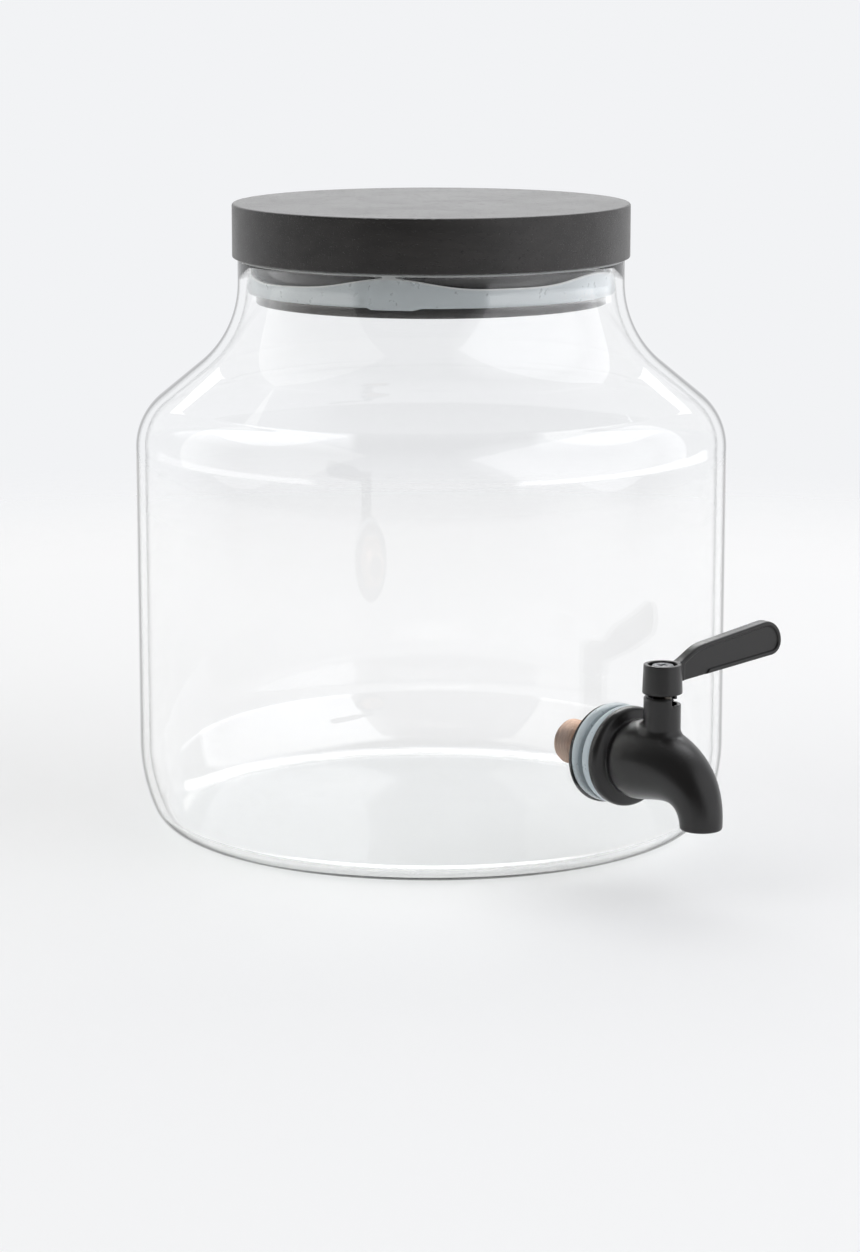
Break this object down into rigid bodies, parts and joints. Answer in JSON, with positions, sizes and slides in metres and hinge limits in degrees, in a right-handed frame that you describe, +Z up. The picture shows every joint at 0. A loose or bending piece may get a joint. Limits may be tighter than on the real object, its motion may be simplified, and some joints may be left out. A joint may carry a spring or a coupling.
{
  "type": "dispenser jar",
  "caption": "Wide-necked clear glass dispenser jar with a black wooden lid sealed by a silicone ring and a quarter-turn lever tap low on its side.",
  "frame": {"origin": "middle of the flat foot ring, on the surface that the jar stands on, on the jar's axis", "axes": "+Z up along the jar's axis, -Y out along the tap's barrel, +X towards the shut lever"},
  "size_m": [0.217, 0.2662, 0.23],
  "materials": {
    "clear_glass": "clear blown glass",
    "stained_wood": "turned mango wood, stained black, matt",
    "clear_silicone": "translucent moulded silicone",
    "black_coating": "cast zinc, matt black powder coat",
    "coppered_brass": "cut brass thread, copper flash",
    "black_washer": "stamped black washer",
    "black_rubber": "moulded nitrile rubber",
    "spindle_brass": "turned brass",
    "white_ptfe": "sintered PTFE",
    "spring_steel": "stamped spring steel",
    "screw_steel": "nickel-plated steel"
  },
  "bodies": {
    "jar": {"glass_jar": "clear_glass", "tap_body": "black_coating", "tap_shank": "coppered_brass", "outer_washer": "clear_silicone", "inner_washer": "clear_silicone", "backing_washer": "black_washer", "shank_nut": "coppered_brass", "thrust_washer": "white_ptfe", "retaining_ring": "spring_steel"},
    "lid": {"lid_disc": "stained_wood", "lid_plug": "stained_wood", "lid_seal": "clear_silicone"},
    "handle": {"lever": "black_coating", "lever_washer": "spring_steel", "lever_screw": "screw_steel", "spindle": "spindle_brass", "lower_o_ring": "black_rubber", "upper_o_ring": "black_rubber"}
  },
  "joints": [
    {"name": "lid_lift", "type": "slide", "parent": "jar", "child": "lid", "axis": [0, 0, 1], "range_m": [0, 0.06]},
    {"name": "lever_turn", "type": "hinge", "parent": "jar", "child": "handle", "pos_m": [0, -0.1296, 0.069], "axis": [0, 0, -1], "range_deg": [0, 90]}
  ]
}
